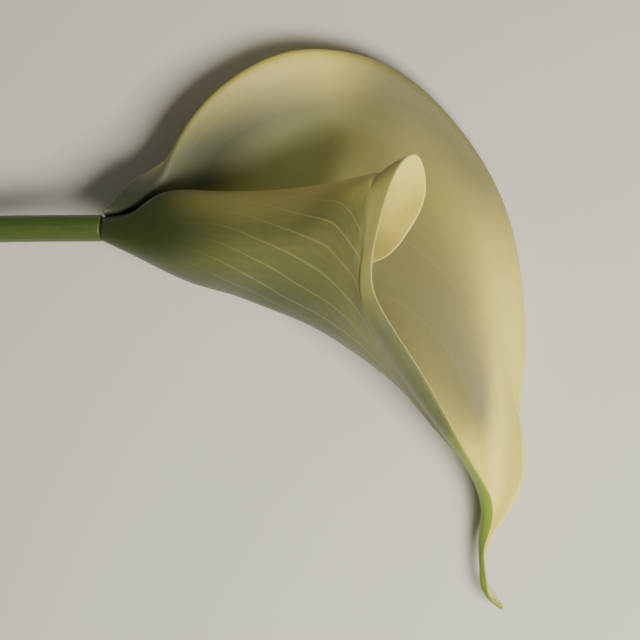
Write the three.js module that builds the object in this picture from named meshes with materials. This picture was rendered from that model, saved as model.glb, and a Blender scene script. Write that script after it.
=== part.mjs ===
// Arum lily flower, picked and lying down: one rolled spathe, the spadix inside it and the cut stem.
// Millimetres, +Z up. It is drawn as seen from above: X to the right and Y to the top of that view.
import * as THREE from "three";

// Spathe: the sheet's thickness and how finely it is faceted.
const SHEET_THICKNESS = 1.0;
const RIM_THICKNESS = 0.7;
const RIM_SHARPNESS = 6;
const SHEET_ROWS = 54;
const SHEET_COLUMNS = 38;
const TIP_CROWDING = 0.4;

// Stem: the full peduncle, its slanting cut, and the thin neck that passes up into the spathe.
const STEM_RADIUS = 4.2;
const STEM_CUT_RADIUS = 4.4;
const STEM_REACH = 120;
const STEM_ROWS = 26;
const STEM_SIDES = 24;
const CUT_SLANT = 0.35;
const NECK_RADIUS = 2;
const NECK_LENGTH = 7.8;

// The stem's middle line from the cut to the spathe: share of its length, millimetres to the side
// of the spathe's base, and share of the climb from the cut to the base.
const STEM_LINE = [[0, -6, 0], [0.25, -2.6, 0.135], [0.6, -0.3, 0.573], [1, 0, 1]];

// Spadix: a round-ended club covered in small florets.
const SPADIX_RADIUS = 4.2;
const SPADIX_BASE_RADIUS = 3;
const SPADIX_ROWS = 50;
const SPADIX_SIDES = 24;
const SPADIX_SWELL = 0.12;
const SPADIX_TAPER = 0.25;
const SPADIX_ROUND_FROM = 0.9;
const SPADIX_ROUND_REACH = 0.102;
const FLORET_RELIEF = 0.14;

// The middle of the spathe's base ring, and the clear gap between touching pieces.
const BASE = { x: -67.6, y: 28.7, z: 0 };
const GAP = 0.5;

// The spathe is one leaf, rolled from the inner margin (across = -1) over the near side, round the
// midrib (across = 0) and out along the far limb to its rolled-back lip (across = 1). Each vein runs
// from the base ring (first number 0) to the cusp at the tip (100) through points [along, x, y, z].
const VEINS = [
  {
    // inner margin: up inside the roll, round the mouth and down the near rim
    across: -1,
    points: [
      [0, -67.3, 31.3, -1.5], [8, -51.8, 31.2, -4.8], [16, -33.1, 28.7, -6], [25, -9.4, 23.9, -4.5],
      [30, 9.4, 17.8, 1], [33, 19.8, 19.5, 6], [36, 26.2, 26.2, 9.5], [39, 31, 34.7, 13],
      [41.5, 32, 42.1, 17], [44, 29.6, 49.3, 23], [46.5, 25.1, 47.9, 30], [50, 20.1, 38.5, 36.5],
      [54, 16.4, 24.7, 40], [58, 15, 13.9, 39.5], [62, 16.9, 5.6, 36.5], [68, 25.5, -8.4, 27],
      [75, 35.5, -24.2, 14.5], [81, 43.8, -38.8, 4], [86, 50.9, -50.3, -4], [89.5, 54.4, -58.4, -8],
      [93, 53.8, -67.6, -11], [96, 52.2, -75, -12.3], [98, 53, -82.8, -13],
      [99.2, 54.8, -89.1, -13.6], [100, 58.3, -91.3, -14],
    ],
  },
  {
    // groove behind the flared margin
    across: -0.84,
    points: [
      [0, -67.7, 31.7, 0.5], [8, -51.6, 33.6, -1.2], [16, -33.8, 33.5, -1.5],
      [25, -10.9, 32.8, -0.5], [31, 4.7, 31.7, 3], [36, 16.7, 33.4, 8], [40, 24.2, 39.6, 13],
      [44, 22.4, 45.7, 25.5], [47.5, 18.8, 43.1, 33], [51, 16.3, 33.4, 37.5], [55, 13.7, 20.3, 39],
      [60, 14.1, 7.8, 37], [68, 23, -9.1, 26.5], [75, 33.6, -25.9, 13.5], [81, 42.9, -39.5, 3],
      [86, 50.8, -51.3, -5], [90, 53.1, -60.7, -9.5], [93, 52.9, -69, -11.8],
      [96, 51.6, -75.8, -13], [98, 52.7, -82.8, -13.5], [99.2, 54.5, -89.3, -13.9],
      [100, 58.3, -91.5, -14.2],
    ],
  },
  {
    // crown of the near roll
    across: -0.62,
    points: [
      [0, -68.1, 30.5, 2.6], [5, -58, 33, 5.1], [8, -52, 37.2, 6.5], [16, -34.6, 39.5, 7.5],
      [25, -14.8, 39.7, 10], [33, 0.6, 40.9, 18.5], [38.5, 10.6, 42.6, 27.5], [42, 14.7, 42, 32.8],
      [45, 13.8, 37.1, 35.8], [48, 13.3, 31.7, 37.4], [51.5, 12.9, 23.6, 38.3],
      [57, 12.1, 9.9, 36.4], [64, 17.1, -3.5, 29], [72, 27.6, -19.8, 15.9], [79, 39, -35.5, 3.6],
      [85, 49.4, -50.1, -5.7], [90, 52.3, -62.1, -11], [94, 51.8, -71.6, -13],
      [97, 51.7, -79, -13.9], [99, 53.8, -87.9, -14.2], [100, 58.2, -91.7, -14.4],
    ],
  },
  {
    // shoulder of the near roll
    across: -0.46,
    points: [
      [0, -68.2, 28.9, 3.3], [8, -52.3, 32, 9.3], [16, -34.9, 33.3, 15.4], [25, -17, 33.8, 21.2],
      [33, -2.2, 34.6, 28.6], [38, 5.3, 34.3, 33.9], [42, 8.9, 30.5, 36.5], [46, 10.3, 24, 37.6],
      [50, 10.5, 17.8, 37.3], [55, 11.5, 8.1, 34.7], [60, 14.3, -0.5, 29.7],
      [66, 20.2, -9.6, 21.7], [72, 28, -20.8, 12.4], [79, 39, -35.8, 1.5],
      [85, 49.2, -50.7, -7.3],
      [90, 52, -62.6, -11.9], [94, 51.5, -72, -13.5], [97, 51.5, -79.4, -14.2],
      [99, 53.8, -88, -14.4], [100, 58.2, -91.8, -14.5],
    ],
  },
  {
    // nearest side of the roll
    across: -0.3,
    points: [
      [0, -68.2, 27.2, 3.1], [8, -53, 25.6, 10], [16, -36.5, 23.7, 18.5], [25, -20.3, 22.2, 25.5],
      [33, -6.1, 22.2, 31], [40, 2.4, 18.7, 33.5], [47, 6.3, 11.3, 32.5], [55, 10.9, 0.4, 27],
      [64, 19.3, -10.8, 17.5], [72, 29, -23.2, 7.5], [79, 39.4, -36.7, -1], [85, 49, -51.1, -8.5],
      [90, 51.8, -62.9, -12.5], [94, 51.3, -72.4, -14], [97, 51.4, -79.7, -14.4],
      [99, 53.7, -88.3, -14.5], [100, 58.2, -91.9, -14.6],
    ],
  },
  {
    // midrib
    across: 0,
    points: [
      [0, -67.6, 25.1, 0], [10, -53.7, 18.4, 1], [20, -38.9, 11.7, 2], [29, -26.1, 8.1, 2.5],
      [36, -17.4, 4.8, 3], [47, -3.8, -1, 3], [55, 7.5, -7.1, 2], [62, 18.2, -14.1, 0.5],
      [70, 29.2, -23.2, -2], [77, 38.2, -33.7, -5], [82, 45.8, -42, -8], [86.5, 50.7, -51.7, -11],
      [90, 51.8, -61, -13.3], [94, 51, -71.8, -15], [97, 51.3, -79.2, -15],
      [99, 53.6, -88.3, -14.9], [100, 58.1, -92.1, -14.9],
    ],
  },
  {
    // back of the tube
    across: 0.25,
    points: [
      [0, -66.9, 27, -3.3], [10, -55.3, 23.4, -8], [20, -41.9, 18.5, -11.5],
      [29, -30.2, 16.3, -13.5], [40, -14.2, 14.4, -14.5], [50, 3.5, 12.7, -14.5],
      [60, 22.2, 7, -13.5], [70, 36.2, -4.2, -12.5], [80, 46.8, -21.8, -13], [87, 52.1, -39.7, -14],
      [91, 53.2, -55.9, -15.5], [94, 51.8, -69.7, -16.2], [97, 51.5, -78.6, -15.6],
      [99, 53.4, -88.1, -15.2], [100, 58.2, -91.9, -15.1],
    ],
  },
  {
    // floor of the far limb
    across: 0.55,
    points: [
      [0, -66.9, 30.9, -3.6], [10, -57.6, 32.9, -9], [20, -47.1, 33.4, -13.5],
      [30, -36.2, 37.2, -17.5], [40, -18.7, 45.7, -20.5], [50, 3.2, 51.5, -21],
      [60, 25.7, 48.8, -18.5], [70, 43.1, 33.5, -15], [80, 54.8, 6.4, -13.5],
      [86, 59.3, -20.7, -14.5], [90, 60.7, -41.5, -15.5], [93, 58.5, -57.5, -16],
      [95.5, 53.7, -70.3, -16], [97.3, 52.1, -79.2, -15.4], [99, 53.6, -87.8, -15.3],
      [100, 58.3, -91.8, -15.2],
    ],
  },
  {
    // crest of the lip
    across: 0.85,
    points: [
      [0, -67.5, 33.3, -0.3], [8, -61.1, 34.9, 1.2], [14, -57, 37.4, 1.8], [20, -53, 40.7, 1.2],
      [26, -48.4, 46.4, 0], [30, -45.1, 53.9, -1.5], [36, -36.2, 67.7, -5], [44, -15.8, 82.4, -10],
      [50, 1.6, 85.2, -12], [55, 19.1, 81.5, -13], [60, 35.1, 70.8, -14], [65, 49.5, 53.6, -15],
      [70, 60.1, 32, -16], [75, 64.6, 6.4, -16.5], [80, 64.8, -17.6, -16.5], [84, 63.4, -34.5, -16],
      [86.5, 64.8, -42.2, -15.5], [89, 64.8, -49.5, -15.5], [91.5, 62.3, -57.5, -16],
      [93.5, 58.2, -64.2, -16], [95, 54.7, -69.7, -16], [97, 52.6, -77.6, -15.6],
      [98.7, 53.3, -85.3, -15.5], [100, 58.4, -91.7, -15.4],
    ],
  },
  {
    // outer margin: the small ear at the base, then the edge of the lip
    across: 1,
    points: [
      [0, -67.9, 33.5, 1.3], [7, -64.4, 37.2, -0.5], [13, -60.4, 41.7, -2.5], [19, -56.3, 44.9, -4],
      [25, -51.7, 47.9, -6], [30, -46.2, 52.9, -9], [36, -35.1, 65.7, -14], [44, -15.1, 79.6, -19],
      [50, 1.6, 82.5, -21.5], [55, 18.4, 78.8, -23], [60, 33.5, 68.7, -22], [65, 47, 51.8, -20.5],
      [70, 57, 30.3, -21], [75, 61.6, 6.5, -22.8], [80, 61.9, -16.8, -22.5],
      [84, 61.1, -33.1, -20.5], [86.5, 62, -41.8, -19.5], [89, 62.3, -48.8, -19],
      [91.5, 60.3, -56.5, -18.5], [93.5, 56.7, -63.1, -17.8], [95, 54.1, -69.5, -17.2],
      [97, 52.8, -77.7, -16.4], [98.7, 53.5, -85, -16], [100, 58.5, -91.5, -15.6],
    ],
  },
];

// The spadix runs up the middle of the roll through points [share of its length, x, y, z].
const SPADIX_PATH = [
  [0, -59.4, 28.3, 0.6], [0.17, -49.8, 27, 3.6], [0.38, -37.1, 26, 7.4], [0.68, -19.1, 24.6, 12.4],
  [1, 0.3, 25.6, 17.5],
];

// Natural cubic spline through rows [knot, value, value, ...]: gives the values at any knot.
function naturalSpline(rows) {
  const knots = rows.map((row) => row[0]);
  const last = rows.length - 1;
  const width = rows[0].length - 1;
  const bend = Array.from({ length: width }, (_, k) => bends(knots, rows.map((row) => row[k + 1])));
  return (knot) => {
    let i = 0;
    while (i < last - 1 && knot > knots[i + 1]) i += 1;
    const step = knots[i + 1] - knots[i];
    const b = (knot - knots[i]) / step;
    const a = 1 - b;
    return bend.map(
      (m, k) =>
        a * rows[i][k + 1] + b * rows[i + 1][k + 1] +
        ((a ** 3 - a) * m[i] + (b ** 3 - b) * m[i + 1]) * (step * step) / 6,
    );
  };
}

// Second derivatives of the natural cubic spline through one column of values.
function bends(knots, values) {
  const last = values.length - 1;
  const m = new Array(last + 1).fill(0);
  const u = new Array(last + 1).fill(0);
  for (let i = 1; i < last; i += 1) {
    const before = knots[i] - knots[i - 1];
    const after = knots[i + 1] - knots[i];
    const share = before / (before + after);
    const pivot = share * m[i - 1] + 2;
    const turn = (values[i + 1] - values[i]) / after - (values[i] - values[i - 1]) / before;
    m[i] = (share - 1) / pivot;
    u[i] = ((6 * turn) / (before + after) - share * u[i - 1]) / pivot;
  }
  m[last] = 0;
  for (let i = last - 1; i >= 0; i -= 1) m[i] = m[i] * m[i + 1] + u[i];
  return m;
}

// Closed solid swept through rings of equal length. A ring's point j and its partner at the other
// side, counted back from the end, close the two ends with a strip.
function sweepGeometry(rings) {
  const size = rings[0].length;
  const index = [];
  const side = (i, j) => {
    const next = (j + 1) % size;
    const [a, b, c, d] = [i * size + j, (i + 1) * size + j, (i + 1) * size + next, i * size + next];
    index.push(a, b, c, a, c, d);
  };
  for (let i = 0; i < rings.length - 1; i += 1) for (let j = 0; j < size; j += 1) side(i, j);
  const top = (rings.length - 1) * size;
  for (let j = 0; j < size / 2; j += 1) {
    const back = size - j - 1;
    if (back !== j + 1) index.push(j, j + 1, back, top + j, top + back, top + j + 1);
    if (j > 0) index.push(j, back, back + 1, top + j, top + back + 1, top + back);
  }
  const geometry = new THREE.BufferGeometry().setFromPoints(rings.flat());
  geometry.setIndex(index);
  geometry.computeVertexNormals();
  return geometry;
}

// One ring of a round rod: `radius` may depend on the corner, and `slant` leans the ring's plane.
function roundRing(centre, axis, sides, radius, slant = 0) {
  const up = new THREE.Vector3(0, 0, 1);
  const out = up.addScaledVector(axis, -axis.z).normalize();
  const along = out.clone().cross(axis);
  return Array.from({ length: sides }, (_, j) => {
    const turn = (2 * Math.PI * j) / sides;
    const r = radius(j);
    return centre.clone()
      .addScaledVector(out, r * Math.cos(turn))
      .addScaledVector(along, r * Math.sin(turn))
      .addScaledVector(axis, slant * r * Math.cos(turn));
  });
}

// Point and direction on a path of [knot, x, y, z] rows.
function pathFrame(path, knot) {
  const nudge = 1e-3;
  const centre = new THREE.Vector3(...path(knot));
  const axis = new THREE.Vector3(...path(knot + nudge)).sub(new THREE.Vector3(...path(knot - nudge)));
  return { centre, axis: axis.normalize() };
}

// The leaf's middle surface as rows of points, from the base ring to the tip.
function leafSurface() {
  const veins = VEINS.map(({ across, points }) => ({ across, at: naturalSpline(points) }));
  return Array.from({ length: SHEET_ROWS + 1 }, (_, i) => {
    const share = i / SHEET_ROWS;
    const eased = Math.sin((share * Math.PI) / 2);
    const along = 100 * ((1 - TIP_CROWDING) * share + TIP_CROWDING * eased);
    const section = naturalSpline(veins.map(({ across, at }) => [across, ...at(along)]));
    return Array.from(
      { length: SHEET_COLUMNS + 1 },
      (_, j) => new THREE.Vector3(...section((2 * j) / SHEET_COLUMNS - 1)),
    );
  });
}

// The sheet's two faces, half a thickness to each side of the middle surface, with rounded rims.
function spatheGeometry() {
  const middle = leafSurface();
  const clampRow = (i) => middle[Math.min(Math.max(i, 0), SHEET_ROWS)];
  const clampColumn = (row, j) => row[Math.min(Math.max(j, 0), SHEET_COLUMNS)];
  const rings = middle.map((row, i) => {
    const inside = [];
    const outside = [];
    row.forEach((point, j) => {
      const lengthways = clampRow(i + 1)[j].clone().sub(clampRow(i - 1)[j]);
      const crossways = clampColumn(row, j + 1).clone().sub(clampColumn(row, j - 1));
      const normal = lengthways.cross(crossways).normalize();
      const edge = Math.abs((2 * j) / SHEET_COLUMNS - 1) ** RIM_SHARPNESS;
      const half = (SHEET_THICKNESS + (RIM_THICKNESS - SHEET_THICKNESS) * edge) / 2;
      inside.push(point.clone().addScaledVector(normal, half));
      outside.push(point.clone().addScaledVector(normal, -half));
    });
    const innerRim = rimPoint(row[0], row[1]);
    const outerRim = rimPoint(row[SHEET_COLUMNS], row[SHEET_COLUMNS - 1]);
    return [innerRim, ...inside, outerRim, ...outside.reverse()];
  });
  return sweepGeometry(rings);
}

// A point that stands half a rim's thickness beyond the margin, away from its neighbour.
function rimPoint(margin, neighbour) {
  const outward = margin.clone().sub(neighbour).normalize();
  return margin.clone().addScaledVector(outward, RIM_THICKNESS / 2);
}

// The stem from its cut, which lies on the surface at height `ground`, up to the neck in the spathe.
function stemGeometry(ground) {
  const cutHeight = ground + STEM_CUT_RADIUS;
  const end = BASE.x - GAP;
  const path = naturalSpline(
    STEM_LINE.map(([share, side, climb]) => [
      share, end - (1 - share) * STEM_REACH, BASE.y + side, cutHeight + climb * (BASE.z - cutHeight),
    ]),
  );
  const rings = Array.from({ length: STEM_ROWS + 1 }, (_, i) => {
    const share = i / STEM_ROWS;
    const { centre, axis } = pathFrame(path, share);
    const radius = STEM_CUT_RADIUS + (STEM_RADIUS - STEM_CUT_RADIUS) * share;
    return roundRing(centre, axis, STEM_SIDES, () => radius, i === 0 ? -CUT_SLANT : 0);
  });
  const { centre, axis } = pathFrame(path, 1);
  const neckEnd = centre.clone().addScaledVector(axis, NECK_LENGTH);
  rings.push(roundRing(centre, axis, STEM_SIDES, () => NECK_RADIUS));
  rings.push(roundRing(neckEnd, axis, STEM_SIDES, () => NECK_RADIUS));
  return sweepGeometry(rings);
}

// The spadix: a club that swells from its foot, tapers and ends round, with florets in a lattice.
function spadixGeometry() {
  const path = naturalSpline(SPADIX_PATH);
  const rings = Array.from({ length: SPADIX_ROWS + 1 }, (_, i) => {
    const share = i / SPADIX_ROWS;
    const beyond = Math.max(share - SPADIX_ROUND_FROM, 0) / SPADIX_ROUND_REACH;
    const end = Math.sqrt(1 - beyond ** 2);
    const swell = Math.min(share / SPADIX_SWELL, 1);
    const body = SPADIX_BASE_RADIUS + (SPADIX_RADIUS - SPADIX_BASE_RADIUS) * swell * (2 - swell);
    const radius = body * (1 - SPADIX_TAPER * share ** 2) * end;
    const { centre, axis } = pathFrame(path, share);
    const relief = i > 0 && i < SPADIX_ROWS ? FLORET_RELIEF * end : 0;
    return roundRing(centre, axis, SPADIX_SIDES, (j) => radius + ((i + j) % 2 ? relief : -relief));
  });
  return sweepGeometry(rings);
}

function named(name, geometry, color, roughness) {
  const finish = new THREE.MeshStandardMaterial({ color, roughness, metalness: 0 });
  const mesh = new THREE.Mesh(geometry, finish);
  mesh.name = name;
  return mesh;
}

const spathe = named("spathe", spatheGeometry(), 0xd9cf9f, 0.55);
spathe.geometry.computeBoundingBox();
const stem = named("stem", stemGeometry(spathe.geometry.boundingBox.min.z), 0x3d5a24, 0.5);
const spadix = named("spadix", spadixGeometry(), 0xdba72c, 0.8);

// The row's frame: its origin is on the surface, under the middle of the flower's bounding box.
const flower = new THREE.Group();
flower.name = "arum_lily_flower";
flower.add(stem, spathe, spadix);
const bounds = new THREE.Box3().setFromObject(flower);
const middle = bounds.getCenter(new THREE.Vector3());
flower.children.forEach((mesh) => mesh.geometry.translate(-middle.x, -middle.y, -bounds.min.z));

export default flower;
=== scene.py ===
"""Arum lily flower, picked and lying down: its looks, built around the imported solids.

Lengths in the classes are millimetres in the drawing's own datum, where the spathe's rails were
chosen; `Datum` turns them into metres in the frame of the solids.
"""

import logging
import math
from collections.abc import Callable
from dataclasses import dataclass, field
from enum import Enum
from functools import partial

import bpy
import numpy as np
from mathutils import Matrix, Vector


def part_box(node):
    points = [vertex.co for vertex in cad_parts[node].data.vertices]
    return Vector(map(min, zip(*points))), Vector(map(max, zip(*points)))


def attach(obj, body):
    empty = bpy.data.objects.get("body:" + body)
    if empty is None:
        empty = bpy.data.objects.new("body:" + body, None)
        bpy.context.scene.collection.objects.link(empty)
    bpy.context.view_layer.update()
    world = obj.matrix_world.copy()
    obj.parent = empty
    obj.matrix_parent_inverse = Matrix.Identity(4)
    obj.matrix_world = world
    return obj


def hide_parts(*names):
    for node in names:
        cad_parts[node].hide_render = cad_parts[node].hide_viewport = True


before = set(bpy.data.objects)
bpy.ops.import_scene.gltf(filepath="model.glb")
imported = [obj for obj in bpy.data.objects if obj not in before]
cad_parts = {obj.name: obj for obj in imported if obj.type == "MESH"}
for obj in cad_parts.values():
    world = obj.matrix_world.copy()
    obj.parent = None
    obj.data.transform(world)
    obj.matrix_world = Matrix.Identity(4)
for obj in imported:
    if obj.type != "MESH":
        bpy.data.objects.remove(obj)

LOG = logging.getLogger("arum_lily")
MM = 0.001
BODY = "root"

# Settings that many nodes share.
COLOURS = {"data_type": "RGBA"}
VECTORS = {"data_type": "FLOAT_VECTOR"}
TIMES = {"operation": "MULTIPLY"}
EASED = {"interpolation_type": "SMOOTHSTEP"}

Tree, Node, Socket = bpy.types.NodeTree, bpy.types.Node, bpy.types.NodeSocket
Material, Piece = bpy.types.Material, bpy.types.Object
Array = np.ndarray
Point = tuple[float, float, float, float]


class Mark(Enum):
    """What the spathe's mesh tells its finish at each point, by the attribute's name."""

    ALONG = "along"
    ACROSS = "across"
    OUTER = "outer"
    # paler margins and mouth, with a painted highlight over the crown of the roll
    PALE = "pale"
    # whiter cream: painted light in the throat where the tube shades it, and a faint tint at the
    # mouth
    WHITE = "white"
    # olive of the throat, with painted shade in the throat, the limb, the rolled margin and the
    # fold
    DEEP = "deep"
    # green of the foot, midrib and fold, partly painted shade at the foot and the roll's lower edge
    GREEN = "green"
    # bright green of the cusp, with a faint painted highlight over the crown of the roll
    CUSP = "cusp"
    VEIN = "vein"
    STRIP = "strip"


@dataclass(frozen=True)
class Vein:
    """One guiding vein of the spathe, from the base ring to the cusp.

    across is -1 at the inner margin, 0 at the midrib and 1 at the outer margin. Each point is
    (share of the way along in per cent, x, y, z).
    """

    across: float
    points: tuple[Point, ...]


VEINS: tuple[Vein, ...] = (
    # inner margin: up inside the roll, round the mouth and down the near rim
    Vein(-1, (
        (0, -67.3, 31.3, -1.5), (8, -51.8, 31.2, -4.8), (16, -33.1, 28.7, -6),
        (25, -9.4, 23.9, -4.5), (30, 9.4, 17.8, 1), (33, 19.8, 19.5, 6), (36, 26.2, 26.2, 9.5),
        (39, 31, 34.7, 13), (41.5, 32, 42.1, 17), (44, 29.6, 49.3, 23), (46.5, 25.1, 47.9, 30),
        (50, 20.1, 38.5, 36.5), (54, 16.4, 24.7, 40), (58, 15, 13.9, 39.5), (62, 16.9, 5.6, 36.5),
        (68, 25.5, -8.4, 27), (75, 35.5, -24.2, 14.5), (81, 43.8, -38.8, 4), (86, 50.9, -50.3, -4),
        (89.5, 54.4, -58.4, -8), (93, 53.8, -67.6, -11), (96, 52.2, -75, -12.3),
        (98, 53, -82.8, -13), (99.2, 54.8, -89.1, -13.6), (100, 58.3, -91.3, -14),
    )),
    # groove behind the flared margin
    Vein(-0.84, (
        (0, -67.7, 31.7, 0.5), (8, -51.6, 33.6, -1.2), (16, -33.8, 33.5, -1.5),
        (25, -10.9, 32.8, -0.5), (31, 4.7, 31.7, 3), (36, 16.7, 33.4, 8), (40, 24.2, 39.6, 13),
        (44, 22.4, 45.7, 25.5), (47.5, 18.8, 43.1, 33), (51, 16.3, 33.4, 37.5),
        (55, 13.7, 20.3, 39), (60, 14.1, 7.8, 37), (68, 23, -9.1, 26.5), (75, 33.6, -25.9, 13.5),
        (81, 42.9, -39.5, 3), (86, 50.8, -51.3, -5), (90, 53.1, -60.7, -9.5),
        (93, 52.9, -69, -11.8), (96, 51.6, -75.8, -13), (98, 52.7, -82.8, -13.5),
        (99.2, 54.5, -89.3, -13.9), (100, 58.3, -91.5, -14.2),
    )),
    # crown of the near roll
    Vein(-0.62, (
        (0, -68.1, 30.5, 2.6), (5, -58, 33, 5.1), (8, -52, 37.2, 6.5), (16, -34.6, 39.5, 7.5),
        (25, -14.8, 39.7, 10), (33, 0.6, 40.9, 18.5), (38.5, 10.6, 42.6, 27.5),
        (42, 14.7, 42, 32.8), (45, 13.8, 37.1, 35.8), (48, 13.3, 31.7, 37.4),
        (51.5, 12.9, 23.6, 38.3), (57, 12.1, 9.9, 36.4), (64, 17.1, -3.5, 29),
        (72, 27.6, -19.8, 15.9), (79, 39, -35.5, 3.6), (85, 49.4, -50.1, -5.7),
        (90, 52.3, -62.1, -11), (94, 51.8, -71.6, -13), (97, 51.7, -79, -13.9),
        (99, 53.8, -87.9, -14.2), (100, 58.2, -91.7, -14.4),
    )),
    # shoulder of the near roll
    Vein(-0.46, (
        (0, -68.2, 28.9, 3.3), (8, -52.3, 32, 9.3), (16, -34.9, 33.3, 15.4), (25, -17, 33.8, 21.2),
        (33, -2.2, 34.6, 28.6), (38, 5.3, 34.3, 33.9), (42, 8.9, 30.5, 36.5), (46, 10.3, 24, 37.6),
        (50, 10.5, 17.8, 37.3), (55, 11.5, 8.1, 34.7), (60, 14.3, -0.5, 29.7),
        (66, 20.2, -9.6, 21.7), (72, 28, -20.8, 12.4), (79, 39, -35.8, 1.5),
        (85, 49.2, -50.7, -7.3), (90, 52, -62.6, -11.9), (94, 51.5, -72, -13.5),
        (97, 51.5, -79.4, -14.2), (99, 53.8, -88, -14.4), (100, 58.2, -91.8, -14.5),
    )),
    # nearest side of the roll
    Vein(-0.3, (
        (0, -68.2, 27.2, 3.1), (8, -53, 25.6, 10), (16, -36.5, 23.7, 18.5),
        (25, -20.3, 22.2, 25.5), (33, -6.1, 22.2, 31), (40, 2.4, 18.7, 33.5),
        (47, 6.3, 11.3, 32.5), (55, 10.9, 0.4, 27), (64, 19.3, -10.8, 17.5), (72, 29, -23.2, 7.5),
        (79, 39.4, -36.7, -1), (85, 49, -51.1, -8.5), (90, 51.8, -62.9, -12.5),
        (94, 51.3, -72.4, -14), (97, 51.4, -79.7, -14.4), (99, 53.7, -88.3, -14.5),
        (100, 58.2, -91.9, -14.6),
    )),
    # midrib
    Vein(0, (
        (0, -67.6, 25.1, 0), (10, -53.7, 18.4, 1), (20, -38.9, 11.7, 2), (29, -26.1, 8.1, 2.5),
        (36, -17.4, 4.8, 3), (47, -3.8, -1, 3), (55, 7.5, -7.1, 2), (62, 18.2, -14.1, 0.5),
        (70, 29.2, -23.2, -2), (77, 38.2, -33.7, -5), (82, 45.8, -42, -8),
        (86.5, 50.7, -51.7, -11), (90, 51.8, -61, -13.3), (94, 51, -71.8, -15),
        (97, 51.3, -79.2, -15), (99, 53.6, -88.3, -14.9), (100, 58.1, -92.1, -14.9),
    )),
    # back of the tube
    Vein(0.25, (
        (0, -66.9, 27, -3.3), (10, -55.3, 23.4, -8), (20, -41.9, 18.5, -11.5),
        (29, -30.2, 16.3, -13.5), (40, -14.2, 14.4, -14.5), (50, 3.5, 12.7, -14.5),
        (60, 22.2, 7, -13.5), (70, 36.2, -4.2, -12.5), (80, 46.8, -21.8, -13),
        (87, 52.1, -39.7, -14), (91, 53.2, -55.9, -15.5), (94, 51.8, -69.7, -16.2),
        (97, 51.5, -78.6, -15.6), (99, 53.4, -88.1, -15.2), (100, 58.2, -91.9, -15.1),
    )),
    # floor of the far limb
    Vein(0.55, (
        (0, -66.9, 30.9, -3.6), (10, -57.6, 32.9, -9), (20, -47.1, 33.4, -13.5),
        (30, -36.2, 37.2, -17.5), (40, -18.7, 45.7, -20.5), (50, 3.2, 51.5, -21),
        (60, 25.7, 48.8, -18.5), (70, 43.1, 33.5, -15), (80, 54.8, 6.4, -13.5),
        (86, 59.3, -20.7, -14.5), (90, 60.7, -41.5, -15.5), (93, 58.5, -57.5, -16),
        (95.5, 53.7, -70.3, -16), (97.3, 52.1, -79.2, -15.4), (99, 53.6, -87.8, -15.3),
        (100, 58.3, -91.8, -15.2),
    )),
    # crest of the lip
    Vein(0.85, (
        (0, -67.5, 33.3, -0.3), (8, -61.1, 34.9, 1.2), (14, -57, 37.4, 1.8), (20, -53, 40.7, 1.2),
        (26, -48.4, 46.4, 0), (30, -45.1, 53.9, -1.5), (36, -36.2, 67.7, -5),
        (44, -15.8, 82.4, -10), (50, 1.6, 85.2, -12), (55, 19.1, 81.5, -13), (60, 35.1, 70.8, -14),
        (65, 49.5, 53.6, -15), (70, 60.1, 32, -16), (75, 64.6, 6.4, -16.5),
        (80, 64.8, -17.6, -16.5), (84, 63.4, -34.5, -16), (86.5, 64.8, -42.2, -15.5),
        (89, 64.8, -49.5, -15.5), (91.5, 62.3, -57.5, -16), (93.5, 58.2, -64.2, -16),
        (95, 54.7, -69.7, -16), (97, 52.6, -77.6, -15.6), (98.7, 53.3, -85.3, -15.5),
        (100, 58.4, -91.7, -15.4),
    )),
    # outer margin: the small ear at the base, then the edge of the lip
    Vein(1, (
        (0, -67.9, 33.5, 1.3), (7, -64.4, 37.2, -0.5), (13, -60.4, 41.7, -2.5),
        (19, -56.3, 44.9, -4), (25, -51.7, 47.9, -6), (30, -46.2, 52.9, -9),
        (36, -35.1, 65.7, -14), (44, -15.1, 79.6, -19), (50, 1.6, 82.5, -21.5),
        (55, 18.4, 78.8, -23), (60, 33.5, 68.7, -22), (65, 47, 51.8, -20.5), (70, 57, 30.3, -21),
        (75, 61.6, 6.5, -22.8), (80, 61.9, -16.8, -22.5), (84, 61.1, -33.1, -20.5),
        (86.5, 62, -41.8, -19.5), (89, 62.3, -48.8, -19), (91.5, 60.3, -56.5, -18.5),
        (93.5, 56.7, -63.1, -17.8), (95, 54.1, -69.5, -17.2), (97, 52.8, -77.7, -16.4),
        (98.7, 53.5, -85, -16), (100, 58.5, -91.5, -15.6),
    )),
)

SPADIX_PATH: tuple[Point, ...] = (
    (0, -59.4, 28.3, 0.6), (0.17, -49.8, 27, 3.6), (0.38, -37.1, 26, 7.4),
    (0.68, -19.1, 24.6, 12.4), (1, 0.3, 25.6, 17.5),
)


def linear(hex_colour: str) -> tuple[float, float, float, float]:
    """Turns an sRGB hex colour into the linear colour a shader socket takes.

    Args:
        hex_colour: A colour such as "#e4d9a8".

    Returns:
        Linear red, green, blue and an alpha of 1.
    """
    toe_end, toe_slope, offset, power = 0.04045, 12.92, 0.055, 2.4
    parts = [int(hex_colour[i : i + 2], 16) / 255 for i in (1, 3, 5)]
    red, green, blue = (
        p / toe_slope if p <= toe_end else ((p + offset) / (1 + offset)) ** power for p in parts
    )
    return (red, green, blue, 1.0)


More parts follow.
